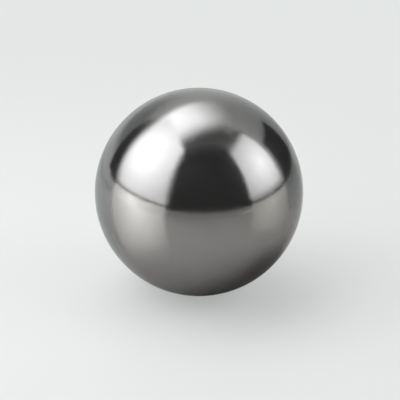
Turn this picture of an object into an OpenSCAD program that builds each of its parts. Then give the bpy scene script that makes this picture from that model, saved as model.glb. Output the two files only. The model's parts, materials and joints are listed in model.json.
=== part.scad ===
// Tungsten ball
//
// One solid ball of sintered tungsten, ground round and lapped to a soft mirror.
// It has no hole, flat, seam or pole: every cut through its centre is the same circle.
// The origin is the centre of the ball, and +Z is up. Lengths are in millimetres.

/* [Ball] */
// Diameter of the ball: 12.7 is a half-inch ball, 25.4 one inch and 50.8 two inches
ball_d = 25.4; // [12.7:0.1:50.8]

/* [Smoothness] */
// Number of facets round the ball's equator
equator_facets = 180; // [24:12:360]

/* [Hidden] */

// Polished tungsten: a mid grey, slightly warm
tungsten_grey = [0.58, 0.58, 0.57];

// The whole ball, a true sphere about the origin
module ball() {
    color(tungsten_grey)
        sphere(d = ball_d, $fn = equator_facets);
}

ball();
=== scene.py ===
# %% [markdown]
# # A polished tungsten ball
#
# The real ball is a single piece of metal. Tungsten powder is pressed and sintered into a
# rough blank, the blank is ground until every point of it is the same distance from its
# middle, and the ball is lapped until it mirrors the room.
#
# A mirror has hardly any look of its own. Most of this lesson is therefore about two things:
# a surface that is truly round and finely finished, and a studio worth mirroring.
#
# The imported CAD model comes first. It holds the true size and place of the ball.

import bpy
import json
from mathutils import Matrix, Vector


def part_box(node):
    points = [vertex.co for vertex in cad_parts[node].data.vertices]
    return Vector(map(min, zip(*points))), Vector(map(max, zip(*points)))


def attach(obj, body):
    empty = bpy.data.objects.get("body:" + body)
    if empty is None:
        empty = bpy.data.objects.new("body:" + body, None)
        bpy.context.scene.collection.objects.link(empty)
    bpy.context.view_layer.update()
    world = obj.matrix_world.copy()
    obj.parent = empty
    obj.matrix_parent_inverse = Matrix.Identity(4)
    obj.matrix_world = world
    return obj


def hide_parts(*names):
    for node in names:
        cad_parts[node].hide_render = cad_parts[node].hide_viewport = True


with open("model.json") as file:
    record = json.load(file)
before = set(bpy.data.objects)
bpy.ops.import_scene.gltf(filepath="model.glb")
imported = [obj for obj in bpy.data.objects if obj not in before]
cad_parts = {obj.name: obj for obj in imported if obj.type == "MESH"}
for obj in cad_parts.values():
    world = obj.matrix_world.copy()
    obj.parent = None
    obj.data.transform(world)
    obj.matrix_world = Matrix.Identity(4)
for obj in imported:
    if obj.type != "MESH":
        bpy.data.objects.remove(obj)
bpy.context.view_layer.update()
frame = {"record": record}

# %% [markdown]
# The studio's lengths are all worked out from the ball's own radius, so the studio would follow
# if the ball were made to another size. The ball has no joints, so there is one body, root.

# %% Measure the ball
import json
import math

import bmesh
import bpy
from mathutils import Matrix, Vector

MM = 0.001

low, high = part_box("ball")
seat = Vector(frame["record"]["mounts"][0]["pos_m"])
BALL_RADIUS = (high.z - low.z) / 2
BALL_CENTRE = seat + Vector((0, 0, BALL_RADIUS))
print("ball radius:", round(BALL_RADIUS / MM, 3), "mm")

# %% [markdown]
# ## The ball
#
# Blender's own UV sphere has two poles where thin triangles crowd together, and a mirror
# finish shows them. A real blank starts blocky and is ground round, and the mesh can be made
# the same way: a cube is cut into a fine even grid, and every point is pulled in or out to
# the ball's radius. It then has no poles, and its squares are nearly equal everywhere.
#
# With a plain grid, the squares at the cube's corners would end up half as wide as those at
# its face centres. The tangent of each coordinate spaces the cuts by equal angles instead,
# which evens the squares out.

# %% Grind a blank round
BLANK_WIDTH = 2
CUTS_PER_EDGE = 95
HALF_FACE_ANGLE = math.pi / 4


def equal_angles(point):
    """Moves a point of a blank whose faces lie 1 from its middle, so that the cuts lie at
    equal angles."""
    return Vector([math.tan(part * HALF_FACE_ANGLE) for part in point])


def into_scene(shape, name):
    """Makes a finished shape an object of the scene."""
    mesh = bpy.data.meshes.new(name)
    shape.to_mesh(mesh)
    shape.free()
    made = bpy.data.objects.new(name, mesh)
    bpy.context.scene.collection.objects.link(made)
    return made


def ground_ball(name):
    """A cube cut into a grid, with every point moved to the ball's surface."""
    shape = bmesh.new()
    bmesh.ops.create_cube(shape, size=BLANK_WIDTH)
    bmesh.ops.subdivide_edges(shape, edges=shape.edges[:], cuts=CUTS_PER_EDGE, use_grid_fill=True)
    for vert in shape.verts:
        vert.co = BALL_CENTRE + equal_angles(vert.co).normalized() * BALL_RADIUS
    for face in shape.faces:
        face.smooth = True
    bmesh.ops.recalc_face_normals(shape, faces=shape.faces[:])
    return into_scene(shape, name)


tungsten_ball = ground_ball("tungsten_ball")
print("ball mesh:", len(tungsten_ball.data.polygons), "squares")

# %% [markdown]
# ## The finish of lapped tungsten
#
# Tungsten is a darker and slightly warmer grey than steel. A Principled shader with Metallic
# at 1 is the metal. The plain formula for a metal turns every rim into a bright ring, but
# tungsten's reflection grows less towards the rim, and the shader's Specular Tint slows it.
#
# Three short helpers keep this material and the later ones readable. One starts a material,
# one adds a node with its plain values, and one links an output to an input.

# %% The metal
EDGE_TINT = (0.90, 0.90, 0.90, 1)


def new_material(name):
    """A material with an empty node tree, and its output node."""
    material = bpy.data.materials.new(name)
    material.use_nodes = True
    tree = material.node_tree
    tree.nodes.clear()
    return material, tree, tree.nodes.new("ShaderNodeOutputMaterial")


def add_node(tree, kind, inputs=None, **settings):
    """A new node with its settings and the plain values of its inputs."""
    node = tree.nodes.new("ShaderNode" + kind)
    for setting, value in settings.items():
        setattr(node, setting, value)
    for socket, value in (inputs or {}).items():
        node.inputs[socket].default_value = value
    return node


def join(tree, source, target):
    """Links an output to an input."""
    tree.links.new(source, target)


finish, finish_tree, finish_output = new_material("lapped_tungsten")
metal = add_node(finish_tree, "BsdfPrincipled", {"Metallic": 1.0, "Specular Tint": EDGE_TINT})
in_the_ball = add_node(finish_tree, "TexCoord").outputs["Object"]
join(finish_tree, metal.outputs["BSDF"], finish_output.inputs["Surface"])
print("started the finish:", finish.name)

# %% [markdown]
# The grain of sintered metal takes the polish a little more here and a little less there. A
# flat image could show that, but it would have to be wrapped round the ball and joined.
# Noise that reads Object coordinates fills the metal right through instead. The ball's surface
# is a cut through it, so it has no join.
#
# `patchy` is that noise, sized by its patches, and `remap` stretches one range of numbers over
# another. Here they shift the grey between two close tones.

# %% The grain and the grey
GRAIN_PATCH = 3.5 * MM
GRAIN_DETAIL = 6.0
GREY_BAND = (0.35, 0.75)
TUNGSTEN_GREY = (0.304, 0.299, 0.293, 1)
TUNGSTEN_DULL = (0.284, 0.279, 0.273, 1)


def patchy(tree, place, size, detail=3.0):
    """A soft random pattern with patches of about this size."""
    noise = add_node(tree, "TexNoise", {"Scale": 1 / size, "Detail": detail})
    join(tree, place, noise.inputs["Vector"])
    return noise.outputs["Fac"]


def remap(tree, source, from_range, to_range, smooth=False):
    """Takes a number from one range to another, and holds it at the ends."""
    node = add_node(
        tree,
        "MapRange",
        {
            "From Min": from_range[0],
            "From Max": from_range[1],
            "To Min": to_range[0],
            "To Max": to_range[1],
        },
        interpolation_type="SMOOTHSTEP" if smooth else "LINEAR",
    )
    join(tree, source, node.inputs["Value"])
    return node.outputs["Result"]


grain = patchy(finish_tree, in_the_ball, GRAIN_PATCH, GRAIN_DETAIL)
grey = add_node(finish_tree, "Mix", {"A": TUNGSTEN_GREY, "B": TUNGSTEN_DULL}, data_type="RGBA")
join(finish_tree, remap(finish_tree, grain, GREY_BAND, (0.0, 1.0)), grey.inputs["Factor"])
join(finish_tree, grey.outputs["Result"], metal.inputs["Base Color"])
print("the grey varies in patches of about", round(GRAIN_PATCH / MM, 1), "mm")

# %% [markdown]
# Lapping leaves scratches finer than a hair. They are arcs that run every way, because the
# ball tumbles as it laps. Drawing them one by one would take thousands of curves, but noise
# can make them all at once. Squeezed along one axis, it turns into thin flat layers, and a
# sphere cuts flat layers in arcs, like the tracks that grains of lapping powder leave.
#
# Four turns of the same noise cross each other. A second, soft pattern wears them fainter in
# places, so that no two parts of the ball are scratched alike.

# %% Lapping scratches
SCRATCH_LAYER = 0.11 * MM
SCRATCH_LENGTH = 5 * MM
SCRATCH_TURNS = [(0.4, 0.2, 0.1), (1.3, 0.7, 2.1), (2.2, 1.9, 0.6), (0.9, 2.6, 1.5)]
SCRATCH_BAND = (0.66, 0.76)
WORN_PATCH = 6 * MM
WORN_BAND = (0.40, 0.62)
FAINTEST_SCRATCH = 0.15


def combine(tree, operation, first, second=0.0):
    """One step of arithmetic on outputs or plain numbers."""
    node = add_node(tree, "Math", operation=operation)
    for socket, value in zip(node.inputs, (first, second)):
        if isinstance(value, float):
            socket.default_value = value
        else:
            join(tree, value, socket)
    return node.outputs[0]


def lapping_scratches(tree, place, turn):
    """Hairline arcs that all run round one axis of the ball."""
    squeeze = add_node(tree, "Mapping", vector_type="TEXTURE")
    squeeze.inputs["Rotation"].default_value = turn
    squeeze.inputs["Scale"].default_value = (SCRATCH_LAYER, SCRATCH_LENGTH, SCRATCH_LENGTH)
    layers = add_node(tree, "TexNoise", {"Scale": 1.0, "Detail": 1.0})
    join(tree, place, squeeze.inputs["Vector"])
    join(tree, squeeze.outputs["Vector"], layers.inputs["Vector"])
    return remap(tree, layers.outputs["Fac"], SCRATCH_BAND, (0.0, 1.0))


scratches = 0.0
for turn in SCRATCH_TURNS:
    arcs = lapping_scratches(finish_tree, in_the_ball, turn)
    scratches = combine(finish_tree, "MAXIMUM", scratches, arcs)
wear = patchy(finish_tree, in_the_ball, WORN_PATCH)
kept_part = remap(finish_tree, wear, WORN_BAND, (FAINTEST_SCRATCH, 1.0))
scratches = combine(finish_tree, "MULTIPLY", scratches, kept_part)
print("scratches run", len(SCRATCH_TURNS), "ways round the ball")

# %% [markdown]
# The roughness follows the grain too, so a duller patch is both rougher and a shade darker. A
# scratch is rougher than the metal beside it, and adds a little of its own.

# %% The polish
POLISH_BAND = (0.3, 0.7)
POLISH_BEST = 0.10
POLISH_WORST = 0.15
SCRATCH_ROUGHNESS = 0.06

polish = remap(finish_tree, grain, POLISH_BAND, (POLISH_BEST, POLISH_WORST))
scratched = combine(finish_tree, "MULTIPLY", scratches, SCRATCH_ROUGHNESS)
join(finish_tree, combine(finish_tree, "ADD", polish, scratched), metal.inputs["Roughness"])
print("between scratches the roughness runs from", POLISH_BEST, "to", POLISH_WORST)

# %% [markdown]
# Sintered metal keeps a few pin-prick pores where powder grains didn't quite meet. A Voronoi
# pattern divides the metal into cells with a point in each, and a pit is sunk round the point.
# Real pores are rare, so only the cells whose random colour passes a mark keep theirs.

# %% Sintering pores
PORE_SPACING = 1.1 * MM
PORE_RADIUS = 0.09 * MM
PORE_SHARE = 0.06


def sintering_pores(tree, place):
    """Pin-prick pits, one in each of a small share of the cells."""
    cells = add_node(tree, "TexVoronoi", {"Scale": 1 / PORE_SPACING})
    join(tree, place, cells.inputs["Vector"])
    rim = PORE_RADIUS / PORE_SPACING
    pit = remap(tree, cells.outputs["Distance"], (0.0, rim), (1.0, 0.0), smooth=True)
    pick = add_node(tree, "SeparateColor")
    join(tree, cells.outputs["Color"], pick.inputs["Color"])
    chosen = combine(tree, "GREATER_THAN", pick.outputs["Red"], 1 - PORE_SHARE)
    return combine(tree, "MULTIPLY", pit, chosen)


pores = sintering_pores(finish_tree, in_the_ball)
print("cells in a hundred with a pore:", round(PORE_SHARE * 100))

# %% [markdown]
# Last comes the relief: how far the scratches, the pores and the faint ripple that lapping
# leaves go down, in thousandths of a millimetre. A scratch is one deep, and a pore three.
#
# They could be cut into the mesh, but most are far finer than its squares. A Bump node bends
# the light as if they were there. Nothing is painted as light or shade, so a scratch shows
# only where it catches the light, as a real one does. Depths go down, so the node is inverted.

# %% The relief
MICROMETRE = 0.001 * MM
PORE_DEPTH = 3.0
RIPPLE_PATCH = 1.6 * MM
RIPPLE_DETAIL = 2.0
RIPPLE_DEPTH = 8.0

pitted = combine(finish_tree, "MULTIPLY", pores, PORE_DEPTH)
ripple = patchy(finish_tree, in_the_ball, RIPPLE_PATCH, RIPPLE_DETAIL)
rippled = combine(finish_tree, "MULTIPLY", ripple, RIPPLE_DEPTH)
depth = combine(finish_tree, "ADD", combine(finish_tree, "ADD", scratches, pitted), rippled)
relief = add_node(finish_tree, "Bump", {"Strength": 1.0, "Distance": MICROMETRE}, invert=True)
join(finish_tree, depth, relief.inputs["Height"])
join(finish_tree, relief.outputs["Normal"], metal.inputs["Normal"])
print("nodes in the finish:", len(finish_tree.nodes))

# %% [markdown]
# The ball now takes its finish. The CAD part called ball is hidden, and the ball is attached
# to the body that carries it, root.

# %% Finish the ball
tungsten_ball.data.materials.append(finish)
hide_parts("ball")
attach(tungsten_ball, "root")
print("finished:", tungsten_ball.name)

# %% [markdown]
# ## The studio
#
# The ball mirrors everything round it, so the lights stand as in any studio for polished
# metal: a tall softbox at the left, a smaller one at the right, a broad light overhead and
# behind, and black cloths between them that give the metal its dark shapes.
#
# Lamps would show in the polish as points or hard squares. Here each light is a sheet of
# glowing cloth instead, because a sheet can fade out at its edges. Two angles say where a
# corner hangs, as on a map: the azimuth round the ball, from the camera's side towards the
# right, and the elevation above the level of its middle. Distances are in ball radii.
#
# Where a sheet shows in the polish depends mostly on these angles. Its distance matters little,
# and mainly decides which sheet hangs in front of which.

# %% Places round the ball


def direction(azimuth, elevation):
    """The direction from the ball at these angles, in degrees. The camera's side is -Y."""
    turn = math.radians(azimuth)
    rise = math.radians(elevation)
    level = math.cos(rise)
    return Vector((math.sin(turn) * level, -math.cos(turn) * level, math.sin(rise)))


def hung(distance, *places):
    """The points at these (azimuth, elevation) places, this many ball radii from the ball."""
    return [BALL_CENTRE + direction(*place) * distance * BALL_RADIUS for place in places]


def lying(*spots, lift=0.01):
    """The points just above the table at these (x, y) spots, in ball radii from the ball."""
    return [BALL_CENTRE + Vector((x, y, lift - 1)) * BALL_RADIUS for x, y in spots]


print("the camera's side is", list(direction(0, 0)))

# %% [markdown]
# A sheet is a fine grid stretched between four corners. A real diffuser is brighter in its
# middle than at its frame, and a hard edge in a mirror draws the eye. Each point of the grid
# therefore carries a number called cover, from 0 at a soft edge to 1 inside, that the
# material reads. No sheet is seen by the camera.
#
# A card is a sheet that lies on the table and that only the ball's polish sees. The ball has
# to show the table greyer than the pale ground round it, and cards do that without darkening
# the ground. It is mostly the front of the ball that mirrors them, so their directions are
# taken from there.

# %% Sheets and cards
SHEET_SQUARES = 48
FRONT_SHARE = 0.75
BALL_FRONT = BALL_CENTRE + Vector((0, -FRONT_SHARE * BALL_RADIUS, 0))


def smooth_step(part):
    """An even climb from 0 to 1 with soft ends."""
    part = min(max(part, 0), 1)
    return part * part * (3 - 2 * part)


def sheet(
    name,
    corners,
    material,
    soft_left=0,
    soft_right=0,
    soft_lower=0,
    soft_upper=0,
    seen_from=BALL_CENTRE,
):
    """A sheet between four corners, from the lower left one and round to the upper left.

    It fades out towards each soft edge over that share of its width or height. Its material
    measures directions from the point that it is seen from.
    """
    lower_left, lower_right, upper_right, upper_left = [corner - seen_from for corner in corners]
    shape = bmesh.new()
    bmesh.ops.create_grid(shape, x_segments=SHEET_SQUARES, y_segments=SHEET_SQUARES, size=0.5)
    cover = shape.verts.layers.float.new("cover")
    for vert in shape.verts:
        u = vert.co.x + 0.5
        v = vert.co.y + 0.5
        edges = ((u, soft_left), (1 - u, soft_right), (v, soft_lower), (1 - v, soft_upper))
        vert[cover] = 1
        for inwards, softness in edges:
            vert[cover] *= smooth_step(inwards / softness) if softness else 1
        vert.co = lower_left.lerp(lower_right, u).lerp(upper_left.lerp(upper_right, u), v)
    hanging = into_scene(shape, name)
    hanging.data.materials.append(material)
    hanging.location = seen_from
    hanging.visible_camera = False
    return hanging


def card(name, corners, material, **soft_edges):
    """A sheet lying on the table that only the ball's polish sees."""
    lying_card = sheet(name, corners, material, seen_from=BALL_FRONT, **soft_edges)
    lying_card.visible_diffuse = False
    lying_card.visible_shadow = False
    return lying_card


print("a sheet has", SHEET_SQUARES * SHEET_SQUARES, "squares")

# %% [markdown]
# A plain cloth is matt and of one colour. A transparent shader takes over where the sheet's
# cover is low, so the cloth fades out towards its soft edges.
#
# A one-sided cloth shows only the back of its grid. The cards need that: their corners run
# clockwise as seen from above, so the back faces up, and the faint sheen of the table under
# them doesn't pick them up.

# %% Plain cloth
def mix_shaders(tree, share, first, second, output):
    """Shows the first shader where the share is 0, and the second where it is 1."""
    mixed = add_node(tree, "MixShader")
    join(tree, share, mixed.inputs["Fac"])
    join(tree, first.outputs[0], mixed.inputs[1])
    join(tree, second.outputs[0], mixed.inputs[2])
    join(tree, mixed.outputs[0], output.inputs["Surface"])


def faded(tree, shader, output, one_sided):
    """Lets a shader show only where the sheet's cover attribute does."""
    cover = add_node(tree, "Attribute", attribute_name="cover").outputs["Fac"]
    if one_sided:
        back = add_node(tree, "NewGeometry").outputs["Backfacing"]
        cover = combine(tree, "MULTIPLY", cover, back)
    mix_shaders(tree, cover, add_node(tree, "BsdfTransparent"), shader, output)


def plain_cloth(name, shade, one_sided=False):
    """A matt cloth of one colour."""
    material, tree, output = new_material(name)
    cloth = add_node(tree, "BsdfDiffuse", {"Color": (*shade, 1)})
    faded(tree, cloth, output, one_sided)
    return material


black = plain_cloth("black_cloth", (0.10, 0.10, 0.10))
print("cut a cloth:", black.name)

# %% [markdown]
# A glowing cloth is a light's diffuser. It is brightest at its hot spot, where the lamp behind
# it points, and dims with the angle from there. On a softbox it dims evenly down to the level
# that the box's white walls keep up. Light spilled along a table has no such level. It falls
# by the same share with every degree, which is an exponential. On the cards that lie on the
# table, the same glow is painted light: a pool of spilled light that only the polish sees.

# %% Glowing cloth
COOL = (0.985, 1.0, 1.02, 1)
WARM = (1.0, 1.0, 0.985, 1)


def glowing_cloth(name, hot_spot, bright, reach, dim=None, colour=COOL, one_sided=False):
    """A light's diffuser, bright at its hot spot and dim at reach degrees from it. On a card, the
    same glow is a painted pool of light.

    With no dim level, the glow falls to a little over a third with each reach.
    """
    material, tree, output = new_material(name)
    place = add_node(tree, "TexCoord").outputs["Object"]
    outwards = add_node(tree, "VectorMath", operation="NORMALIZE")
    towards_hot = add_node(tree, "VectorMath", operation="DOT_PRODUCT")
    towards_hot.inputs[1].default_value = direction(*hot_spot)
    join(tree, place, outwards.inputs[0])
    join(tree, outwards.outputs["Vector"], towards_hot.inputs[0])
    angle = combine(tree, "ARCCOSINE", towards_hot.outputs["Value"])
    if dim is None:
        reaches = combine(tree, "DIVIDE", angle, -math.radians(reach))
        glow = combine(tree, "MULTIPLY", combine(tree, "EXPONENT", reaches), bright)
    else:
        glow = remap(tree, angle, (0.0, math.radians(reach)), (bright, dim))
    light = add_node(tree, "Emission", {"Color": colour})
    join(tree, glow, light.inputs["Strength"])
    faded(tree, light, output, one_sided)
    return material


left_light = glowing_cloth("left_light", hot_spot=(-80, 42), bright=4.5, dim=1.7, reach=46)
print("switched on:", left_light.name)

# %% [markdown]
# The left side carries the main light. Under its softbox, a low glow reaches down to the table.
# A glowing card lying on the table, which only the ball's polish sees, carries that glow along
# the table to the ball: a painted pool of the light that a softbox spills on what it stands on.
# A thin black strip between the softbox and the low glow, the seam, draws the far edge of the
# table, and a small black flag rounds off the softbox's lower outer corner.
#
# Each soft edge has a number, the share of the sheet's width or height over which it fades. An
# edge with no number is sharp, because another sheet covers it or carries straight on from it.

# %% Hang the left side
left_spill = {"hot_spot": (-72, 0), "bright": 3.15, "reach": 37, "colour": WARM}

left_side = [
    sheet(
        "left_softbox",
        hung(11, (-104, 3.2), (-28.2, 2.8), (-24, 60), (-142, 57.5)),
        left_light,
        soft_left=0.23,
        soft_right=0.19,
        soft_lower=0.05,
        soft_upper=0.13,
    ),
    sheet(
        "left_low_light",
        hung(11, (-104, -5.2), (-31, -5.2), (-31, 2.3), (-104, 2.7)),
        glowing_cloth("left_low_glow", **left_spill),
        soft_left=0.10,
        soft_right=0.10,
        soft_upper=0.08,
    ),
    # Painted light: a glowing card that paints the softbox's pool of spilled light on the table,
    # for the polish only.
    card(
        "left_painted_pool_card",
        lying((-0.66, -0.55), (-0.38, -1.22), (-6.1, -9.8), (-10.9, 3.0)),
        glowing_cloth("left_painted_pool_glow", one_sided=True, **left_spill),
        soft_left=0.11,
        soft_right=0.10,
        soft_lower=0.11,
    ),
    sheet(
        "left_corner_flag",
        hung(10.8, (-114, -1), (-84, -1), (-90, 12), (-113, 15)),
        black,
        soft_right=0.60,
        soft_lower=0.3,
        soft_upper=0.35,
    ),
    sheet(
        "left_seam",
        hung(10.9, (-107, 2.2), (-30, 1.9), (-30, 3.2), (-107, 3.6)),
        black,
        soft_lower=0.3,
        soft_upper=0.3,
    ),
]
print("left side:", [hanging.name for hanging in left_side])

# %% [markdown]
# The right side answers with a smaller and dimmer set: a softbox, a low glow with its glowing
# card on the table, again a painted pool of spilled light that only the polish sees, and the
# black seam. Its low glow is a little warmer, and it keeps a dim level, so the table at the
# right darkens only slowly.

# %% Hang the right side
WARMER = (1.0, 0.995, 0.95, 1)
right_spill = {"dim": 0.35, "reach": 45, "colour": WARMER}

right_side = [
    sheet(
        "right_softbox",
        hung(24, (54, 3.4), (105.2, 3.4), (110, 57), (52.5, 57)),
        glowing_cloth("right_light", hot_spot=(87, 30), bright=3.3, dim=1.2, reach=35),
        soft_left=0.08,
        soft_right=0.11,
        soft_lower=0.12,
        soft_upper=0.16,
    ),
    sheet(
        "right_low_light",
        hung(11, (55, -5.2), (107, -5.2), (107, 1.9), (55, 1.7)),
        glowing_cloth("right_low_glow", hot_spot=(81, 0), bright=1.32, **right_spill),
        soft_left=0.07,
        soft_right=0.07,
        soft_upper=0.15,
    ),
    # Painted light: a glowing card that paints the right softbox's pool of spilled light on the
    # table, for the polish only.
    card(
        "right_painted_pool_card",
        lying((1.61, -1.72), (1.77, -0.11), (10.2, 3.3), (9.3, -6.6)),
        glowing_cloth(
            "right_painted_pool_glow",
            hot_spot=(82, 0),
            bright=1.25,
            one_sided=True,
            **right_spill,
        ),
        soft_left=0.07,
        soft_right=0.07,
        soft_lower=0.15,
    ),
    sheet(
        "right_seam",
        hung(10.9, (53, 1.2), (108, 1.3), (108, 4.4), (53, 4.0)),
        black,
        soft_left=0.1,
        soft_right=0.1,
        soft_lower=0.3,
        soft_upper=0.3,
    ),
]
print("right side:", [hanging.name for hanging in right_side])

# %% [markdown]
# The lower half of the ball mirrors nothing but the table. The cards give it its tones: warm
# greys round the ball and towards the camera, and cooler ones behind. The darker grey card at
# the right rear is painted shade, for the side of the table away from the main light, and a
# small dark card at the ball's foot is a painted shadow of the ball, which only the polish
# sees. Where two of them overlap, one lies a hair above the other, so that it is plain which
# one is seen.

# %% Lay the cards on the table
def toned_card(name, tone, corners, **soft_edges):
    """A card of one plain tone."""
    return card(name, corners, plain_cloth(name, tone, one_sided=True), **soft_edges)


cards = [
    toned_card(
        "grey_card",
        (0.545, 0.535, 0.518),
        lying((-8, 12), (12, 12), (10, -13), (-8, -13), lift=0.004),
        soft_left=0.20,
        soft_right=0.15,
        soft_lower=0.25,
        soft_upper=0.15,
    ),
    toned_card(
        "front_card",
        (0.68, 0.665, 0.645),
        lying((-6.5, -9), (15, -9), (58, -38), (-27, -42), lift=0.002),
        soft_lower=0.12,
    ),
    # Painted shade: a darker card for the table behind and right of the ball, the side away from
    # the main light.
    toned_card(
        "right_rear_painted_shade_card",
        (0.42, 0.43, 0.424),
        lying((1.8, 0.2), (1.2, 1.2), (18, 30), (31, 7), lift=0.008),
        soft_left=0.08,
        soft_right=0.35,
        soft_lower=0.13,
        soft_upper=0.05,
    ),
    toned_card(
        "rear_card",
        (0.58, 0.59, 0.585),
        lying((4, 4.5), (-3, 4.5), (-18, 40), (30, 36), lift=0.006),
        soft_left=0.25,
        soft_right=0.20,
        soft_lower=0.08,
    ),
    toned_card(
        "left_rear_card",
        (0.505, 0.52, 0.512),
        lying((0.8, 1.1), (-0.9, -0.2), (-14, 3.0), (-4, 14), lift=0.008),
        soft_left=0.25,
        soft_right=0.12,
        soft_lower=0.03,
        soft_upper=0.3,
    ),
    # Painted shadow: a dark card for the ball's shadow on the table at its foot, as the polish
    # sees it.
    toned_card(
        "painted_shadow_card",
        (0.25, 0.24, 0.23),
        lying((-0.35, -1.0), (-0.30, 0.6), (2.3, 0.7), (1.6, -1.1), lift=0.016),
        soft_left=0.40,
        soft_right=0.40,
        soft_lower=0.35,
        soft_upper=0.45,
    ),
]
print("cards:", [lying_card.name for lying_card in cards])

# %% [markdown]
# A broad soft light overhead and behind gives the crown of the ball its sheen. Behind the
# camera, between the two softboxes, hangs the black cloth that draws the dark arch. A dark
# grey ceiling fades in over it, in two pieces, so that the arch ends softly.

# %% Hang the top and the front
dark_grey = plain_cloth("dark_grey_cloth", (0.28, 0.28, 0.28))

top_and_front = [
    sheet(
        "overhead_light",
        hung(34, (-44, 55), (108, 60), (170, 35.5), (-107, 38.5)),
        glowing_cloth("overhead_glow", hot_spot=(-128, 62), bright=3.7, dim=1.5, reach=50),
        soft_left=0.10,
        soft_right=0.45,
        soft_lower=0.40,
        soft_upper=0.22,
    ),
    sheet(
        "front_cloth",
        hung(44, (-36, -0.7), (59, -0.4), (59, 66), (-36, 66)),
        black,
        soft_upper=0.05,
    ),
    sheet(
        "front_ceiling",
        hung(43, (-42, 36), (75, 32), (140, 60), (-115, 67)),
        dark_grey,
        soft_right=0.30,
        soft_lower=0.40,
        soft_upper=0.55,
    ),
    sheet(
        "right_ceiling",
        hung(42, (66, 50), (118, 50), (112, 63), (72, 66)),
        dark_grey,
        soft_left=0.3,
        soft_right=0.2,
        soft_lower=0.1,
        soft_upper=0.5,
    ),
]
print("top and front:", [hanging.name for hanging in top_and_front])

# %% [markdown]
# Beyond each softbox hangs a black flag. It draws the dark band between the lit panel and the
# rim of the ball. The very rim mirrors what lies behind the ball, and with nothing there but
# the pale surroundings it would melt into the ground, so grey cloths hang behind the flags.

# %% Hang the flags and the rear cloths
mid_grey = plain_cloth("mid_grey_cloth", (0.60, 0.615, 0.61))
pale_grey = plain_cloth("pale_grey_cloth", (0.80, 0.81, 0.805))

flags_and_rear = [
    sheet(
        "left_flag",
        hung(30, (-126, 1), (-98, 1), (-115, 50), (-142, 46)),
        black,
        soft_left=0.15,
        soft_right=0.15,
        soft_lower=0.02,
        soft_upper=0.40,
    ),
    sheet(
        "left_rear_cloth",
        hung(42, (-178, 2), (-120, 2), (-120, 50), (-178, 36)),
        mid_grey,
        soft_left=0.6,
        soft_right=0.1,
        soft_lower=0.3,
        soft_upper=0.5,
    ),
    sheet(
        "right_flag",
        hung(30, (105, 1), (144.5, 1), (146.5, 23), (108, 36)),
        black,
        soft_left=0.14,
        soft_right=0.07,
        soft_lower=0.02,
        soft_upper=0.12,
    ),
    sheet(
        "right_rear_cloth",
        hung(44, (104, -1.2), (178, -1.2), (178, 60), (104, 75)),
        pale_grey,
        soft_left=0.1,
        soft_right=0.45,
        soft_upper=0.65,
    ),
]
print("flags and rear:", [hanging.name for hanging in flags_and_rear])

# %% [markdown]
# ## The table and the surroundings
#
# The table is a pale matt board. A real one is lit unevenly and ends in a hard line, and a
# studio hides both with a long curved backdrop. A haze does the same here. Close to the ball
# it takes the place of not quite half of what the board shows, and of more the further off,
# until only the pale surroundings are left.
#
# Only the camera, polish and glass see the haze. To all other light the board is a plain
# board, so the ball keeps its soft shadow and the haze throws no light on it.

# %% The table
TABLE_HEIGHT = BALL_CENTRE.z - BALL_RADIUS
TABLE_REACH = 150
TABLE_SIDES = 128
BOARD = (0.68, 0.68, 0.67, 1)
BOARD_ROUGHNESS = 0.6
BOARD_SHINE = 0.2
PALE = (0.791, 0.815, 0.807, 1)
HAZE_NEAR = 0.4
HAZE_DEPTH = 8


def hazy_board():
    """A matt board that fades into the pale surroundings with the distance from the ball."""
    material, tree, output = new_material("hazy_board")
    board = add_node(tree, "BsdfPrincipled", {"Base Color": BOARD, "Roughness": BOARD_ROUGHNESS})
    board.inputs["Specular IOR Level"].default_value = BOARD_SHINE
    place = add_node(tree, "TexCoord").outputs["Object"]
    distance = add_node(tree, "VectorMath", operation="LENGTH")
    join(tree, place, distance.inputs[0])
    depths = combine(tree, "DIVIDE", distance.outputs["Value"], -HAZE_DEPTH * BALL_RADIUS)
    clear_part = combine(tree, "MULTIPLY", combine(tree, "EXPONENT", depths), 1 - HAZE_NEAR)
    ray = add_node(tree, "LightPath")
    seen = combine(tree, "MAXIMUM", ray.outputs["Is Camera Ray"], ray.outputs["Is Glossy Ray"])
    seen = combine(tree, "MAXIMUM", seen, ray.outputs["Is Transmission Ray"])
    hazy_part = combine(tree, "MULTIPLY", combine(tree, "SUBTRACT", 1.0, clear_part), seen)
    haze = add_node(tree, "Emission", {"Color": PALE})
    mix_shaders(tree, hazy_part, board, haze, output)
    return material


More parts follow.
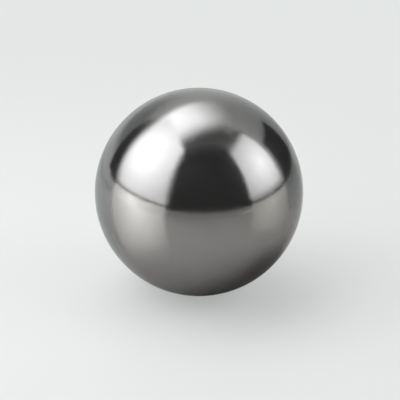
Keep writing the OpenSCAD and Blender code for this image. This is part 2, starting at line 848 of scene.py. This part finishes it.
def round_table():
    """A disc under the ball, far wider than the camera sees."""
    shape = bmesh.new()
    bmesh.ops.create_circle(
        shape,
        cap_ends=True,
        segments=TABLE_SIDES,
        radius=TABLE_REACH * BALL_RADIUS,
        matrix=Matrix.Translation((BALL_CENTRE.x, BALL_CENTRE.y, TABLE_HEIGHT)),
    )
    board = into_scene(shape, "table")
    board.data.materials.append(hazy_board())
    return board


table = round_table()
print("table:", round(table.dimensions.x, 2), "m across")

# %% [markdown]
# Everything beyond the table is one even pale colour, at a strength of 1. It fills the
# shadows softly and is the tone that the haze fades into.

# %% The surroundings
surroundings = bpy.data.worlds.new("pale_surroundings")
surroundings.use_nodes = True
surroundings.node_tree.nodes["Background"].inputs["Color"].default_value = PALE
bpy.context.scene.world = surroundings
print("surroundings:", PALE[:3])

# %% [markdown]
# ## The camera
#
# A wide lens close by would stretch a ball near the edge of its view into an egg. A long lens
# from further off keeps its outline round. The camera looks down at a point just under the
# ball's middle and a touch to its right, which leaves a little more room on those sides, and
# it leans by about a degree, so that the table's edge in the mirror isn't quite level.

# %% Camera
CAMERA_ELEVATION = 21
CAMERA_DISTANCE = 10.71
LENS_MM = 100
SENSOR_MM = 36
LOOK_BELOW = 0.083
LOOK_RIGHT = 0.0115
CAMERA_LEAN = 1.3


def studio_camera():
    """A camera that looks down at the ball through a long lens."""
    lens = bpy.data.cameras.new("camera")
    lens.lens = LENS_MM
    lens.sensor_width = SENSOR_MM
    lens.clip_start = BALL_RADIUS
    lens.clip_end = 2 * TABLE_REACH * BALL_RADIUS
    camera = bpy.data.objects.new("camera", lens)
    bpy.context.scene.collection.objects.link(camera)
    camera.location = BALL_CENTRE + direction(0, CAMERA_ELEVATION) * CAMERA_DISTANCE * BALL_RADIUS
    target = BALL_CENTRE + Vector((LOOK_RIGHT, 0, -LOOK_BELOW)) * BALL_RADIUS
    looking = (target - camera.location).to_track_quat("-Z", "Y").to_matrix()
    leaning = Matrix.Rotation(math.radians(CAMERA_LEAN), 3, "Z")
    camera.rotation_euler = (looking @ leaning).to_euler()
    return camera


bpy.context.scene.camera = studio_camera()
bpy.context.scene.view_settings.view_transform = "Standard"
print("camera:", round(CAMERA_DISTANCE * BALL_RADIUS / MM), "mm from the ball's middle")
